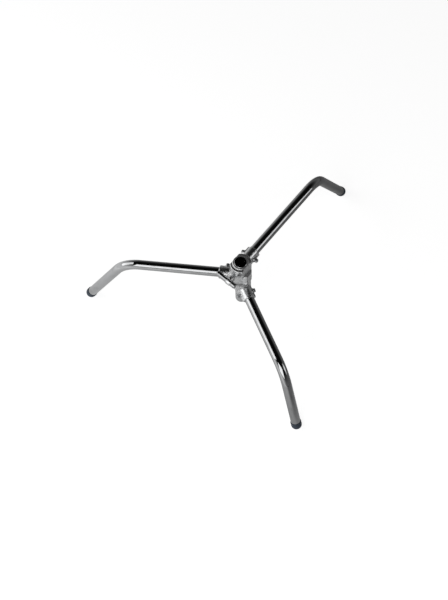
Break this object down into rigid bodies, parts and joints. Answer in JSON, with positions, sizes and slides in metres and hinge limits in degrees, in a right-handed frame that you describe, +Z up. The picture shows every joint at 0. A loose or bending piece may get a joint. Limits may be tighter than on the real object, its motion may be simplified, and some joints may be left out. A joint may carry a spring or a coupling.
{
  "type": "c stand base",
  "caption": "Folding stand base with bent tubular legs stacked on a central receiver tube, a T-handle clamp for a detachable column, and rubber foot caps.",
  "frame": {"origin": "hub axis at floor level, with the base unfolded", "axes": "+Z up along the receiver's axis, towards the column; +Y along the fixed top leg; the clamp handle is on the -Y side"},
  "size_m": [0.7028, 0.7113, 0.2694],
  "materials": {
    "cast_plated": "rough cast, satin plated",
    "tube_chrome": "polished chrome plate on steel",
    "handle_chrome": "bright plated steel",
    "fastener_steel": "zinc plated steel",
    "washer_steel": "ground steel",
    "spring_steel": "oiled spring steel",
    "foot_rubber": "moulded dark blue-grey rubber",
    "nylon": "natural nylon",
    "pad_brass": "turned brass"
  },
  "bodies": {
    "base": {"top_casting": "cast_plated", "spindle_tube": "tube_chrome", "top_leg_tube": "tube_chrome", "top_foot_cap": "foot_rubber", "top_leg_bolt": "fastener_steel", "top_leg_nut": "fastener_steel", "top_leg_washers": "fastener_steel", "stop_pins": "spring_steel", "upper_thrust_washer": "washer_steel", "spring_washer": "spring_steel", "retaining_ring": "spring_steel", "stop_plug": "nylon", "stop_screw": "fastener_steel", "collar_screw": "fastener_steel"},
    "middle_leg": {"middle_casting": "cast_plated", "middle_leg_tube": "tube_chrome", "middle_foot_cap": "foot_rubber", "middle_leg_bolt": "fastener_steel", "middle_leg_nut": "fastener_steel", "middle_leg_washers": "fastener_steel", "middle_drag_plug": "nylon", "middle_drag_screw": "fastener_steel", "lower_thrust_washer": "washer_steel"},
    "lower_leg": {"lower_casting": "cast_plated", "lower_leg_tube": "tube_chrome", "lower_foot_cap": "foot_rubber", "lower_leg_bolt": "fastener_steel", "lower_leg_nut": "fastener_steel", "lower_leg_washers": "fastener_steel", "lower_drag_plug": "nylon", "lower_drag_screw": "fastener_steel", "bottom_washer": "washer_steel"},
    "clamp_pad": {"clamp_pad": "pad_brass"},
    "clamp_handle": {"clamp_screw": "fastener_steel", "handle_hub": "handle_chrome", "handle_bar": "handle_chrome", "handle_pin": "spring_steel"}
  },
  "joints": [
    {"name": "middle_leg_fold", "type": "hinge", "parent": "base", "child": "middle_leg", "pos_m": [0, 0, 0.20895], "axis": [0, 0, 1], "range_deg": [-120, 0]},
    {"name": "lower_leg_fold", "type": "hinge", "parent": "base", "child": "lower_leg", "pos_m": [0, 0, 0.1677], "axis": [0, 0, 1], "range_deg": [0, 120]},
    {"name": "clamp_travel", "type": "slide", "parent": "base", "child": "clamp_pad", "axis": [0, 1, 0], "range_m": [-0.0035, 0.00175]},
    {"name": "clamp_turn", "type": "hinge", "parent": "clamp_pad", "child": "clamp_handle", "pos_m": [0, -0.0494, 0.241], "axis": [0, 1, 0], "range_deg": [-722, 362]}
  ],
  "couplings": [
    {"joint": "clamp_turn", "follows": "clamp_travel", "rad_per_m": 3590.4}
  ]
}
